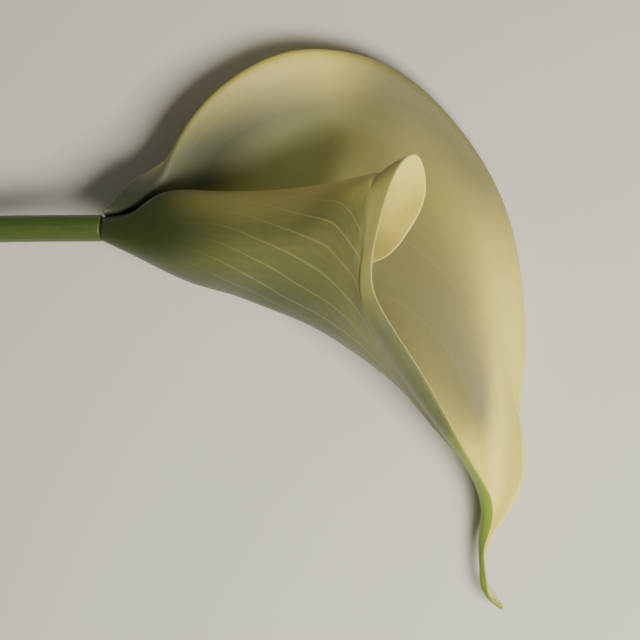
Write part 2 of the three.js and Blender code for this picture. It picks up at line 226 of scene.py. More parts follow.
def natural_spline(knots: Array, values: Array) -> Callable[[Array], Array]:
    """Makes a natural cubic spline through rows of values.

    Args:
        knots: Rising positions of the rows.
        values: One row of values for each knot; any further shape is kept.

    Returns:
        A function that gives the values at an array of positions.
    """
    knots = np.asarray(knots, float)
    values = np.asarray(values, float)
    step = np.diff(knots)
    slope = np.diff(values, axis=0) / step.reshape((-1,) + (1,) * (values.ndim - 1))
    inner = len(knots) - 2
    matrix = np.zeros((inner, inner))
    for i in range(inner):
        matrix[i, i] = 2 * (step[i] + step[i + 1])
        if i > 0:
            matrix[i, i - 1] = step[i]
        if i < inner - 1:
            matrix[i, i + 1] = step[i + 1]
    turn = 6 * np.diff(slope, axis=0)
    bend = np.zeros_like(values)
    bend[1:-1] = np.linalg.solve(matrix, turn.reshape(inner, -1)).reshape(turn.shape)

    def at(places: Array) -> Array:
        """Gives the spline's values at these places."""
        places = np.atleast_1d(np.asarray(places, float))
        i = np.clip(np.searchsorted(knots, places) - 1, 0, len(step) - 1)
        wide = (-1,) + (1,) * (values.ndim - 1)
        h = step[i].reshape(wide)
        b = (places - knots[i]).reshape(wide) / h
        a = 1 - b
        cubic = ((a**3 - a) * bend[i] + (b**3 - b) * bend[i + 1]) * h * h / 6
        return a * values[i] + b * values[i + 1] + cubic

    return at


def smooth(low: float, high: float, value: Array) -> Array:
    """Eases from 0 at low to 1 at high."""
    share = np.clip((value - low) / (high - low), 0, 1)
    return share * share * (3 - 2 * share)


def unit(vectors: Array) -> Array:
    """Scales vectors on the last axis to length 1."""
    shortest = 1e-12
    return vectors / np.maximum(np.linalg.norm(vectors, axis=-1, keepdims=True), shortest)


@dataclass(frozen=True)
class Window:
    """A soft-edged range of places: eases in over the rise and out over the fall."""

    rise: tuple[float, float] = (-3.0, -2.0)
    fall: tuple[float, float] = (2.0, 3.0)

    def at(self, places: Array) -> Array:
        """Gives how far each place lies inside, from 0 to 1."""
        return smooth(*self.rise, places) * (1 - smooth(*self.fall, places))


@dataclass(frozen=True)
class Patch:
    """A soft-edged patch of a face of the leaf, along 0 to 1 and across -1 to 1."""

    along: Window = Window()
    across: Window = Window()
    strength: float = 1.0

    def at(self, along: Array, across: Array) -> Array:
        """Gives the patch's strength at each point."""
        return self.strength * self.along.at(along) * self.across.at(across)


@dataclass(frozen=True)
class Datum:
    """Moves drawing millimetres to metres in the frame of the solids."""

    shift_mm: Array

    def place(self, points_mm: Array) -> Array:
        """Returns the points in metres, pressed flat where they would pass into the surface."""
        points = (np.asarray(points_mm) + self.shift_mm) * MM
        points[..., 2] = np.maximum(points[..., 2], 0)
        return points


def sweep_faces(rings: int, size: int) -> list[tuple[int, ...]]:
    """Lists the faces of a closed solid swept through rings, its ends closed by strips.

    Args:
        rings: How many rings there are.
        size: How many points each ring has; point j faces point size - j.

    Returns:
        Faces as tuples of vertex numbers, pointing outwards; the sides come first, ring by ring.
    """
    faces: list[tuple[int, ...]] = []
    for i in range(rings - 1):
        for j in range(size):
            k = (j + 1) % size
            faces.append((i * size + j, (i + 1) * size + j, (i + 1) * size + k, i * size + k))
    top = (rings - 1) * size
    for j in range(size // 2):
        back, start = size - j - 1, size - j
        if j == 0:
            faces.append((0, 1, back))
            faces.append((top, top + back, top + 1))
        elif back == j + 1:
            faces.append((j, back, start))
            faces.append((top + j, top + start, top + back))
        else:
            faces.append((j, j + 1, back, start))
            faces.append((top + j, top + start, top + back, top + j + 1))
    return faces


def round_rings(centres: Array, axes: Array, radii: Array, slants: Array) -> Array:
    """Lays round rings across a path, each starting at its upper side.

    Args:
        centres: The rings' middles.
        axes: Unit directions of the path there.
        radii: Radius of each ring at each of its corners.
        slants: How far each ring's plane leans along the axis, per unit of height.

    Returns:
        The rings' points.
    """
    up = np.array((0.0, 0.0, 1.0))
    out = unit(up - axes * axes[:, 2:])
    side = np.cross(out, axes)
    turn = 2 * np.pi * np.arange(radii.shape[1]) / radii.shape[1]
    reach = (radii * np.cos(turn))[..., None]
    width = (radii * np.sin(turn))[..., None]
    lean = reach * slants[:, None, None]
    return centres[:, None] + reach * out[:, None] + width * side[:, None] + lean * axes[:, None]


def path_frame(path: Callable[[Array], Array], share: Array) -> tuple[Array, Array]:
    """Finds points on a path and its unit directions there."""
    nudge = 1e-3
    return path(share), unit(path(share + nudge) - path(share - nudge))


def mesh_object(
    name: str,
    points: Array,
    faces: list[tuple[int, ...]],
    attributes: dict[str, Array] | None = None,
) -> Piece:
    """Makes a smooth-shaded mesh object at the origin.

    Args:
        name: The piece's name.
        points: Vertices in metres.
        faces: Vertex numbers of each face.
        attributes: One number for each vertex, by name, for the material to read.

    Returns:
        The new object, linked to the scene.
    """
    mesh = bpy.data.meshes.new(name)
    mesh.from_pydata(points.reshape(-1, 3).tolist(), [], faces)
    for label, numbers in (attributes or {}).items():
        layer = mesh.attributes.new(label, "FLOAT", "POINT")
        layer.data.foreach_set("value", np.asarray(numbers, np.float32).ravel())
    mesh.shade_smooth()
    mesh.update()
    piece = bpy.data.objects.new(name, mesh)
    bpy.context.scene.collection.objects.link(piece)
    return piece


def add_node(
    tree: Tree,
    kind: str,
    settings: dict[str, object] | None = None,
    inputs: dict[str | int, object] | None = None,
) -> Node:
    """Adds a node with its settings, values and links.

    Args:
        tree: The node tree.
        kind: The node's type name.
        settings: Properties of the node.
        inputs: For each input, by name or number, a value, or an output socket to link.

    Returns:
        The new node.
    """
    node = tree.nodes.new(kind)
    for key, value in (settings or {}).items():
        setattr(node, key, value)
    for key, value in (inputs or {}).items():
        if isinstance(value, Socket):
            tree.links.new(value, node.inputs[key])
        else:
            node.inputs[key].default_value = value
    return node


def new_material(name: str) -> tuple[Material, Tree, Node]:
    """Makes an empty material with its output node.

    Args:
        name: The finish's name.

    Returns:
        The material, its node tree and the output node.
    """
    material = bpy.data.materials.new(name)
    material.use_nodes = True
    tree = material.node_tree
    tree.nodes.clear()
    return material, tree, add_node(tree, "ShaderNodeOutputMaterial")


def bake_nodes(piece: Piece, tree: Tree, sizes: dict[str, object]) -> Piece:
    """Runs a node tree on a piece and keeps the result as a plain mesh.

    Args:
        piece: The piece that the tree starts from.
        tree: The geometry node tree.
        sizes: Values of the tree's named inputs.

    Returns:
        The same piece with its new mesh.
    """
    modifier = piece.modifiers.new(tree.name, "NODES")
    modifier.node_group = tree
    for item in tree.interface.items_tree:
        if item.in_out == "INPUT" and item.name in sizes:
            modifier[item.identifier] = sizes[item.name]
    graph = bpy.context.evaluated_depsgraph_get()
    mesh = bpy.data.meshes.new_from_object(piece.evaluated_get(graph), depsgraph=graph)
    piece.modifiers.remove(modifier)
    piece.data = mesh
    return piece


@dataclass(frozen=True)
class LivingTissue:
    """What the flower's finishes share: moist flesh that light soaks into, under fine relief."""

    relief_mm: float = 0.1
    relief_strength: float = 0.3
    roughness: float = 0.4
    refraction: float = 1.42
    sheen: float = 0.0
    glow: float = 0.25
    glow_mm: float = 1.0
    glow_colour: tuple[float, float, float] = (0.6, 1.0, 0.3)

    def cover(self, tree: Tree, output: Node, colour: Socket, height: Socket) -> None:
        """Gives the flesh its colour and relief.

        Args:
            tree: The material's nodes.
            output: The material's output node.
            colour: The colour at each point.
            height: The relief's height at each point.
        """
        relief = {
            "Strength": self.relief_strength, "Distance": self.relief_mm * MM, "Height": height,
        }
        shader = add_node(
            tree, "ShaderNodeBsdfPrincipled", {},
            {
                "Base Color": colour,
                "Roughness": self.roughness,
                "IOR": self.refraction,
                "Subsurface Weight": self.glow,
                "Subsurface Radius": self.glow_colour,
                "Subsurface Scale": self.glow_mm * MM,
                "Sheen Weight": self.sheen,
                "Normal": add_node(tree, "ShaderNodeBump", {}, relief).outputs["Normal"],
            },
        )
        tree.links.new(shader.outputs[0], output.inputs["Surface"])


@dataclass(frozen=True)
class PetalTissue(LivingTissue):
    """Fresh spathe tissue: a millimetre of living leaf, waxy outside and velvety inside.

    Light soaks into it and glows through where it is thin, so it is mostly subsurface with a soft
    satin gloss. The inside is cream and turns olive in the throat; painted shade darkens the
    throat, the hollow of the limb and the inside of the rolled margin, and painted light whitens
    the throat where the tube shades it. The outside is olive, dark green at the foot and along
    the midrib, partly painted shade, paler over the crown of the roll by a painted highlight,
    darker along the fold below the mouth by painted shade, and bright green along the cusp, and
    its veins show as fine pale lines.
    """

    inner_cream: str = "#f4e377"
    inner_shade: str = "#e5d46c"
    # whiter cream: painted light in the throat where the tube shades it, and a faint tint at the
    # mouth
    white_and_painted_light: str = "#e7edad"
    # olive of the throat, also laid as painted shade in the limb, the rolled margin and the fold
    throat_olive_and_shade: str = "#656a56"
    outer_olive: str = "#787b49"
    outer_shade: str = "#6e7242"
    # dark green of the foot, midrib and fold, partly painted shade there
    leaf_green_and_shade: str = "#36451c"
    # bright green of the cusp, also laid faintly over the crown of the roll as painted highlight
    cusp_green_and_highlight: str = "#86a13c"
    vein_pale: str = "#e4dea0"
    mottle_mm: float = 7.0
    streaks_across: float = 46.0
    streaks_along: float = 5.0
    streak_share: float = 0.6
    shade_range: tuple[float, float] = (0.35, 0.65)
    inner_shade_share: float = 0.45
    grain_mm: float = 0.5
    streak_ridge: float = 2.0
    vein_ridge: float = 4.0
    vein_width: float = 0.07
    vein_faintest: float = 0.15
    relief_mm: float = 0.06
    relief_strength: float = 0.35
    roughness: float = 0.48
    sheen: float = 0.08
    glow: float = 0.9
    glow_mm: float = 2.2
    glow_colour: tuple[float, float, float] = (1.0, 0.9, 0.4)

    def material(self) -> Material:
        """Builds the node material."""
        material, tree, output = new_material("petal_tissue")
        add = partial(add_node, tree)
        own = {
            mark: add("ShaderNodeAttribute", {"attribute_name": mark.value}).outputs["Fac"]
            for mark in Mark
        }
        place = add("ShaderNodeTexCoord").outputs["Object"]
        streaks = self.streaks(tree, own)
        colour = self.tissue_colour(tree, own, place, streaks)
        line = self.vein_line(tree, own[Mark.STRIP], own[Mark.VEIN])
        colour = add(
            "ShaderNodeMix", COLOURS, {0: line, 6: colour, 7: linear(self.vein_pale)},
        ).outputs[2]

        # Fine grain, with the streaks and the veins standing up a little.
        height = add(
            "ShaderNodeTexNoise", {},
            {"Vector": place, "Scale": 1 / (self.grain_mm * MM), "Detail": 3.0},
        ).outputs["Fac"]
        for raised, ridge in ((streaks, self.streak_ridge), (line, self.vein_ridge)):
            height = add(
                "ShaderNodeMath", {"operation": "MULTIPLY_ADD"}, {0: raised, 1: ridge, 2: height},
            ).outputs[0]
        self.cover(tree, output, colour, height)
        return material

    def streaks(self, tree: Tree, own: dict[Mark, Socket]) -> Socket:
        """Makes the faint streaks that run the length of the leaf."""
        add = partial(add_node, tree)
        lengthways, crossways = (
            add("ShaderNodeMath", TIMES, {0: own[mark], 1: count}).outputs[0]
            for mark, count in (
                (Mark.ALONG, self.streaks_along), (Mark.ACROSS, self.streaks_across),
            )
        )
        run = add("ShaderNodeCombineXYZ", {}, {"X": lengthways, "Y": crossways})
        return add(
            "ShaderNodeTexNoise", {},
            {"Vector": run.outputs[0], "Scale": 1.0, "Detail": 4.0, "Roughness": 0.55},
        ).outputs["Fac"]

    def tissue_colour(
        self, tree: Tree, own: dict[Mark, Socket], place: Socket, streaks: Socket,
    ) -> Socket:
        """Colours both faces, softly blotched and streaked, and lays each tint where it shows.

        Args:
            tree: The material's nodes.
            own: What the mesh tells at each point.
            place: The point itself.
            streaks: The lengthways streaks.

        Returns:
            The colour under the veins.
        """
        add = partial(add_node, tree)
        mottle = add(
            "ShaderNodeTexNoise", {},
            {"Vector": place, "Scale": 1 / (self.mottle_mm * MM), "Detail": 5.0, "Roughness": 0.6},
        ).outputs["Fac"]
        patches = add(
            "ShaderNodeMix", {"data_type": "FLOAT"}, {0: self.streak_share, 2: mottle, 3: streaks},
        ).outputs[0]
        low, high = self.shade_range
        shade = add(
            "ShaderNodeMapRange", EASED, {"Value": patches, "From Min": low, "From Max": high},
        ).outputs["Result"]
        inner_shade = add("ShaderNodeMath", TIMES, {0: shade, 1: self.inner_shade_share}).outputs[0]
        inside, outside = (
            add("ShaderNodeMix", COLOURS, {0: amount, 6: linear(light), 7: linear(dark)}).outputs[2]
            for amount, light, dark in (
                (inner_shade, self.inner_cream, self.inner_shade),
                (shade, self.outer_olive, self.outer_shade),
            )
        )
        colour = add(
            "ShaderNodeMix", COLOURS, {0: own[Mark.OUTER], 6: inside, 7: outside},
        ).outputs[2]
        # tints over both faces; some are painted highlight, painted light and painted shade
        for mark, tint in (
            (Mark.PALE, self.inner_cream),
            (Mark.WHITE, self.white_and_painted_light),
            (Mark.DEEP, self.throat_olive_and_shade),
            (Mark.GREEN, self.leaf_green_and_shade),
            (Mark.CUSP, self.cusp_green_and_highlight),
        ):
            colour = add(
                "ShaderNodeMix", COLOURS, {0: own[mark], 6: colour, 7: linear(tint)},
            ).outputs[2]
        return colour

    def vein_line(self, tree: Tree, strip: Socket, strength: Socket) -> Socket:
        """Draws one fine line down the middle of each strip of leaf, each with its own strength.

        Args:
            tree: The material's nodes.
            strip: The place across the leaf, counted in strips.
            strength: How far the veins show at each point.

        Returns:
            How much of the vein's colour lies at each point.
        """
        add = partial(add_node, tree)
        apart = strip
        for operation, inputs in (("FRACT", {}), ("SUBTRACT", {1: 0.5}), ("ABSOLUTE", {})):
            apart = add("ShaderNodeMath", {"operation": operation}, {0: apart, **inputs}).outputs[0]
        line = add(
            "ShaderNodeMapRange", EASED,
            {"Value": apart, "From Max": self.vein_width, "To Min": 1.0, "To Max": 0.0},
        ).outputs["Result"]
        number = add("ShaderNodeMath", {"operation": "FLOOR"}, {0: strip}).outputs[0]
        chance = add(
            "ShaderNodeTexWhiteNoise", {"noise_dimensions": "1D"}, {"W": number}
        ).outputs["Value"]
        weight = add(
            "ShaderNodeMapRange", {}, {"Value": chance, "To Min": self.vein_faintest}
        ).outputs["Result"]
        for factor in (weight, strength):
            line = add("ShaderNodeMath", TIMES, {0: line, 1: factor}).outputs[0]
        return line


@dataclass(frozen=True)
class StemSkin(LivingTissue):
    """A fleshy green stalk with a thin waxy skin: smooth satin, finely streaked along its length.

    Where it was cut it is pale and wet, with pores that darken it in specks.
    """

    green: str = "#3f5226"
    streak: str = "#566a33"
    cut_flesh: str = "#c3cf98"
    cut_pore: str = "#7d9350"
    streak_mm: float = 1.2
    pore_mm: float = 0.7
    streak_stretch: float = 0.06

    def material(self) -> Material:
        """Builds the node material."""
        material, tree, output = new_material("stem_skin")
        add = partial(add_node, tree)
        place = add("ShaderNodeTexCoord").outputs["Object"]
        stretched = add(
            "ShaderNodeMapping", {}, {"Vector": place, "Scale": (self.streak_stretch, 1.0, 1.0)}
        ).outputs["Vector"]
        streaks = add(
            "ShaderNodeTexNoise", {},
            {"Vector": stretched, "Scale": 1 / (self.streak_mm * MM), "Detail": 4.0},
        ).outputs["Fac"]
        pores = add(
            "ShaderNodeTexVoronoi", {}, {"Vector": place, "Scale": 1 / (self.pore_mm * MM)}
        ).outputs["Distance"]
        cut = add("ShaderNodeAttribute", {"attribute_name": "cut"}).outputs["Fac"]
        skin, flesh = (
            add("ShaderNodeMix", COLOURS, {0: amount, 6: linear(low), 7: linear(high)}).outputs[2]
            for amount, low, high in (
                (streaks, self.green, self.streak), (pores, self.cut_pore, self.cut_flesh),
            )
        )
        colour = add("ShaderNodeMix", COLOURS, {0: cut, 6: skin, 7: flesh}).outputs[2]
        relief = add(
            "ShaderNodeMix", {"data_type": "FLOAT"}, {0: cut, 2: streaks, 3: pores}
        ).outputs[0]
        self.cover(tree, output, colour, relief)
        return material


@dataclass(frozen=True)
class PollenFlorets(LivingTissue):
    """Crowded yellow florets dusted with pollen: matt, mealy and slightly translucent.

    The lowest ones carry no pollen and are pale green.
    """

    yellow: str = "#e6ab20"
    deep: str = "#b97a10"
    seed_green: str = "#a9b56a"
    patch_mm: float = 2.5
    relief_strength: float = 0.4
    roughness: float = 0.8
    refraction: float = 1.5
    glow_mm: float = 0.6
    glow_colour: tuple[float, float, float] = (1.0, 0.6, 0.2)

    def material(self) -> Material:
        """Builds the node material."""
        material, tree, output = new_material("pollen_florets")
        add = partial(add_node, tree)
        place = add("ShaderNodeTexCoord").outputs["Object"]
        lower = add("ShaderNodeAttribute", {"attribute_name": "lower"}).outputs["Fac"]
        patches = add(
            "ShaderNodeTexNoise", {},
            {"Vector": place, "Scale": 1 / (self.patch_mm * MM), "Detail": 6.0},
        ).outputs["Fac"]
        pollen = add(
            "ShaderNodeMix", COLOURS, {0: patches, 6: linear(self.deep), 7: linear(self.yellow)},
        ).outputs[2]
        colour = add(
            "ShaderNodeMix", COLOURS, {0: lower, 6: pollen, 7: linear(self.seed_green)},
        ).outputs[2]
        self.cover(tree, output, colour, patches)
        return material


@dataclass(frozen=True)
class StudioPaper:
    """A sheet of pale matt studio paper, which gives soft contact shadows."""

    white: str = "#dad7d0"
    roughness: float = 0.9

    def material(self) -> Material:
        """Builds the node material."""
        material, tree, output = new_material("studio_paper")
        add = partial(add_node, tree)
        shader = add(
            "ShaderNodeBsdfPrincipled", {},
            {"Base Color": linear(self.white), "Roughness": self.roughness},
        )
        tree.links.new(shader.outputs[0], output.inputs["Surface"])
        return material


@dataclass(frozen=True)
class OuterFace:
    """Where the outer face of the leaf is green, pale or olive.

    It is dark green at the foot and along the midrib, partly painted shade at the foot and on the
    roll's lower edge; paler over the crown of the roll by a painted highlight; paler at the mouth,
    on the back of the limb and at the near rim; olive along the steep fold below the mouth and
    down the near side, which is painted shade, and greener along the lower fold, partly painted
    shade; and bright green along the cusp. The crown is bounded by a slanting line.
    """

    # green foot, partly painted shade
    foot: Patch = Patch(Window(fall=(0.08, 0.25)))
    # green midrib, partly painted shade along the lower edge of the roll
    rib: Patch = Patch(Window(fall=(0.7, 0.85)), Window((-0.34, 0.0), (0.0, 0.34)))
    rib_loss: Patch = Patch(Window((0.5, 0.65)), strength=0.2)
    # green along the fold below the mouth, partly painted shade
    fold: Patch = Patch(Window((0.63, 0.74)), Window(fall=(-0.2, 0.0)), 0.4)
    mouth: Patch = Patch(Window((0.36, 0.44), (0.55, 0.63)), Window(fall=(-0.72, -0.58)))
    back: Patch = Patch(across=Window((0.3, 0.7)), strength=0.4)
    lip: Patch = Patch(across=Window((0.9, 1.0)), strength=0.3)
    near_rim: Patch = Patch(Window((0.67, 0.75)), Window(fall=(-0.98, -0.94)), 0.35)
    # painted shade on the strip below the mouth (lap) and down the near side (side)
    lap: Patch = Patch(Window((0.6, 0.66), (0.78, 0.84)), Window(fall=(-0.7, -0.55)))
    side: Patch = Patch(Window((0.5, 0.58), (0.66, 0.76)), Window((-0.6, -0.4), (-0.25, -0.1)), 0.4)
    cusp: Patch = Patch(Window((0.77, 0.84)), strength=0.95)
    # painted highlight over the crown of the roll
    crown: Patch = Patch(Window(fall=(0.38, 0.46)))
    crown_edge: float = -0.35
    crown_slant: float = 0.8
    crown_turn: float = 0.3
    crown_softness: float = 0.17
    # how strong the crown's painted highlight is, in pale and in bright green
    crown_painted_highlight: float = 0.5
    crown_highlight_green: float = 0.15
    mouth_pale: float = 0.2
    mouth_white: float = 0.12
    # how strong the painted shade on the lap and side is, in olive and in green
    lap_painted_shade: float = 0.6
    lap_shade_green: float = 0.25

    def marks(self, along: Array, across: Array) -> dict[Mark, Array]:
        """Gives the face's marks at each point.

        Args:
            along: Places along the leaf, 0 to 1.
            across: Places across the leaf, -1 to 1.

        Returns:
            The strength of each tint.
        """
        foot, rib, rib_loss, fold, mouth, back, lip, near_rim, lap, side, cusp, crown = (
            patch.at(along, across)
            for patch in (
                self.foot, self.rib, self.rib_loss, self.fold, self.mouth, self.back, self.lip,
                self.near_rim, self.lap, self.side, self.cusp, self.crown,
            )
        )
        # the crown's painted highlight ends at a line that slants down the roll
        edge = self.crown_edge - self.crown_slant * np.maximum(along - self.crown_turn, 0)
        crown = crown * smooth(0.0, self.crown_softness, edge - across)
        # painted shade on the lap and the near side
        lap = np.maximum(lap, side)
        # green at the foot, midrib and fold, partly painted shade
        green = np.maximum.reduce([foot, rib * (1 - rib_loss), fold, self.lap_shade_green * lap])
        return {
            Mark.PALE: self.crown_painted_highlight * crown + self.mouth_pale * mouth + back + lip + near_rim,
            Mark.WHITE: self.mouth_white * mouth,
            Mark.DEEP: self.lap_painted_shade * lap,
            Mark.GREEN: green,
            Mark.CUSP: np.maximum(cusp, self.crown_highlight_green * crown * (1 - foot)),
        }


@dataclass(frozen=True)
class InnerFace:
    """Where the inner face of the leaf is olive, white or green.

    It is olive in the throat, whose edge runs up to a peak and down again, the olive partly its
    own colour and partly painted shade. Painted shade also darkens the hollow of the limb, the
    corner beyond the throat and the inside of the rolled margin; painted light makes the throat
    whiter where the tube shades it; and the foot is green, partly painted shade.
    """

    # green at the foot inside, partly painted shade
    foot: Patch = Patch(Window(fall=(0.08, 0.25)), strength=0.5)
    tip: Patch = Patch(Window((0.93, 1.0)), strength=0.35)
    # painted light: the throat is made whiter where the tube shades it
    white: Patch = Patch(Window((0.28, 0.4), (0.48, 0.6)), Window((0.0, 0.3), (0.61, 0.75)))
    # the root of the throat: its own olive with painted shade
    root: Patch = Patch(Window(fall=(0.16, 0.28)))
    throat: Window = Window(fall=(-0.15, 0.12))
    throat_side: Window = Window((-0.4, 0.3))
    throat_peak: tuple[float, float] = (0.5, 0.67)
    throat_slopes: tuple[float, float] = (1.2, 0.65)
    # painted shade along the outer margin of the limb beyond the throat
    corner: Patch = Patch(Window((0.49, 0.57), (0.66, 0.77)), Window((0.5, 0.75)), 0.78)
    # painted shade down the hollow of the limb
    hollow: Patch = Patch(Window((0.5, 0.58), (0.84, 0.9)), strength=0.84)
    hollow_centre: float = 0.27
    hollow_drift: float = 0.8
    hollow_turn: float = 0.8
    hollow_reach: float = 0.36
    hollow_flare: float = 2.8
    hollow_least: float = 0.2
    # painted shade inside the rolled margin
    leaf: Patch = Patch(Window(fall=(0.35, 0.43)), Window(fall=(-0.4, 0.0)), 0.6)
    leaf_rim: Window = Window((-1.0, -0.75))
    leaf_rim_share: float = 0.4
    leaf_low: Window = Window(fall=(0.33, 0.39))

    def marks(self, along: Array, across: Array) -> dict[Mark, Array]:
        """Gives the face's marks at each point.

        Args:
            along: Places along the leaf, 0 to 1.
            across: Places across the leaf, -1 to 1.

        Returns:
            The strength of each tint.
        """
        # painted shade in the throat (with its own olive), the limb's hollow, the corner and the
        # margin
        lightest = 1.0
        for shade in (
            self.throat_olive_and_painted_shade(along, across),
            self.hollow_painted_shade(along, across),
            self.corner.at(along, across),
            self.rolled_margin_painted_shade(along, across),
        ):
            lightest = lightest * (1 - shade)
        return {
            Mark.PALE: np.zeros_like(across),
            Mark.WHITE: self.white.at(along, across),
            Mark.DEEP: 1 - lightest,
            Mark.GREEN: self.foot.at(along, across),
            Mark.CUSP: self.tip.at(along, across),
        }

    def throat_olive_and_painted_shade(self, along: Array, across: Array) -> Array:
        """Paints shade into the olive throat, up to an edge with its peak near the far side."""
        peak, middle = self.throat_peak
        near, far = self.throat_slopes
        slope = np.where(across < middle, near * (middle - across), far * (across - middle))
        throat = self.throat.at(along - (peak - slope)) * self.throat_side.at(across)
        return np.maximum(throat, self.root.at(along, across))

    def hollow_painted_shade(self, along: Array, across: Array) -> Array:
        """Paints shade in the limb's hollow, which narrows and drifts outward towards the cusp."""
        centre = self.hollow_centre + self.hollow_drift * np.maximum(along - self.hollow_turn, 0)
        reach = self.hollow_reach + self.hollow_flare * (self.hollow_turn - along)
        reach = np.maximum(reach, self.hollow_least)
        aside = smooth(0.0, 1.0, np.abs(across - centre) / reach)
        return self.hollow.at(along, across) * (1 - aside)

    def rolled_margin_painted_shade(self, along: Array, across: Array) -> Array:
        """Paints shade inside the rolled margin, less at its very rim and fully at its root."""
        rim = self.leaf_rim_share + (1 - self.leaf_rim_share) * self.leaf_rim.at(across)
        return self.leaf.at(along, across) * np.maximum(rim, self.leaf_low.at(along))


@dataclass
class Spathe:
    """The one leaf that wraps the flower, rolled into a tube and flared into a limb."""

    thickness: float = 1.0
    rim_thickness: float = 0.7
    rim_sharpness: float = 6.0
    rim_steps: int = 5
    rows: int = 260
    tip_crowding: float = 0.4
    columns: int = 180
    vein_count: int = 28
    vein_fade_mm: tuple[float, float] = (0.8, 3.2)
    vein_extent: Patch = Patch(Window((0.1, 0.3), (0.75, 0.92)), Window((-0.95, -0.8)))
    inner_veins: float = 0.06
    outer_veins: float = 0.23
    low_lean: Patch = Patch(Window((0.15, 0.37)), strength=0.14)
    high_lean: Patch = Patch(Window((0.4, 0.6)))
    lean_side: Window = Window(fall=(-0.15, 0.15))
    lean_least: float = 0.1
    lean_growth: float = 0.5
    lean_turn: float = -0.3
    ripple_count: int = 12
    ripple_height: float = 0.04
    ripple_waves: tuple[float, float] = (3.0, 9.0)
    ripple_slants: tuple[float, float] = (-1.2, 1.2)
    ripple_extent: Window = Window((0.05, 0.25), (0.8, 0.95))
    ripple_widths_mm: tuple[float, float] = (15.0, 50.0)
    seed: int = 7
    outer_face: OuterFace = field(default_factory=OuterFace)
    inner_face: InnerFace = field(default_factory=InnerFace)
    finish: PetalTissue = field(default_factory=PetalTissue)

    def middle(self, along: Array, across: Array) -> Array:
        """Returns the middle surface's points for every pair of places along and across."""
        veins = []
        for vein in VEINS:
            rows = np.array(vein.points)
            veins.append(natural_spline(rows[:, 0], rows[:, 1:])(along))
        surface = natural_spline(np.array([v.across for v in VEINS]), np.array(veins))(across)
        return np.moveaxis(surface, 0, 1)

    def rings(self) -> tuple[Array, dict[str, Array]]:
        """Makes the closed sections of the sheet, in drawing millimetres.

        Returns:
            The rings, and for each of their points the numbers that the finish reads.
        """
        share = np.linspace(0, 1, self.rows + 1)
        eased = (1 - self.tip_crowding) * share + self.tip_crowding * np.sin(share * math.pi / 2)
        along, across = 100 * eased, np.linspace(-1, 1, self.columns + 1)
        middle = self.middle(along, across)
        step, aside = 0.02, 0.002
        lengthways = self.middle(along + step, across) - self.middle(along - step, across)
        crossways = self.middle(along, across + aside) - self.middle(along, across - aside)
        normal = unit(np.cross(lengthways, crossways))
        spread = np.linalg.norm(crossways, axis=-1) / (2 * aside)
        middle = middle + normal * self.ripples(along / 100, across, spread)[..., None]

        edge = np.abs(across) ** self.rim_sharpness
        half = (self.thickness + (self.rim_thickness - self.thickness) * edge) / 2
        half = np.broadcast_to(half, spread.shape)
        inside = middle + normal * half[..., None]
        outside = middle - normal * half[..., None]

        turns = np.pi * np.arange(1, self.rim_steps) / self.rim_steps
        outward_high = unit(crossways[:, -1])
        outward_low = -unit(crossways[:, 0])
        rim_high = self.rim(middle[:, -1], normal[:, -1], outward_high, half[:, -1], turns)
        rim_low = self.rim(middle[:, 0], normal[:, 0], outward_low, half[:, 0], turns)[:, ::-1]
        points = self.wrap(rim_low, inside, rim_high, outside)
        return points, self.numbers(along / 100, across, spread)

    def ripples(self, along: Array, across: Array, spread: Array) -> Array:
        """Gives the low lengthways ripples of a leaf that unrolled: their height at each point."""
        random = np.random.default_rng(self.seed)
        height = np.zeros_like(spread)
        for _ in range(self.ripple_count):
            waves_across = random.uniform(*self.ripple_waves)
            waves_along = random.uniform(*self.ripple_slants)
            phase = random.uniform(0, 2 * np.pi)
            waves = waves_across * across[None] / 2 + waves_along * along[:, None]
            height += np.sin(2 * np.pi * waves + phase)
        ends = self.ripple_extent.at(along)[:, None] * smooth(*self.ripple_widths_mm, spread)
        return self.ripple_height * height * ends

    def strips(self, along: Array, across: Array) -> Array:
        """Counts the strips between veins, which lean inward low on the roll and outward above."""
        outward = self.lean_least + self.lean_growth * np.maximum(self.lean_turn - across, 0)
        lean = outward * self.high_lean.at(along, across) - self.low_lean.at(along, across)
        return (across + lean * self.lean_side.at(across) + 1) * self.vein_count / 2

    def vein_strength(self, along: Array, across: Array, spread: Array) -> Array:
        """Gives how far the veins show: not where they crowd, and not at the margin and ends."""
        apart = smooth(*self.vein_fade_mm, spread * 2 / self.vein_count)
        return apart * self.vein_extent.at(along, across)

    def wrap(self, low: Array, face: Array, high: Array, back: Array) -> Array:
        """Lays rims and faces out in the order of the rings.

        Args:
            low: Values round the inner margin, from the outer face to the inner one.
            face: Values on the inner face, from the inner margin to the outer one.
            high: Values round the outer margin, from the inner face to the outer one.
            back: Values on the outer face, from the inner margin to the outer one.

        Returns:
            All values of each ring, starting in the middle of the inner margin's rim.
        """
        centre = self.rim_steps // 2
        return np.concatenate([low[:, centre:], face, high, back[:, ::-1], low[:, :centre]], axis=1)

    def numbers(self, along: Array, across: Array, spread: Array) -> dict[str, Array]:
        """Gives what the finish reads at each point of the rings.

        Args:
            along: Each ring's place along the leaf, 0 to 1.
            across: The columns' places across it, -1 to 1.
            spread: Millimetres across the leaf for one unit of across, at each point.

        Returns:
            One number for each point of the rings, by the attribute's name.
        """
        rim = np.ones((len(along), self.rim_steps - 1))
        fade = rim * np.arange(1, self.rim_steps) / self.rim_steps
        along, across = (np.array(grid) for grid in np.meshgrid(along, across, indexing="ij"))
        outer = self.outer_face.marks(along, across)
        inner = self.inner_face.marks(along, across)
        strips = self.strips(along, across)
        veins = self.vein_strength(along, across, spread)
        none, whole = np.zeros_like(along), np.ones_like(along)

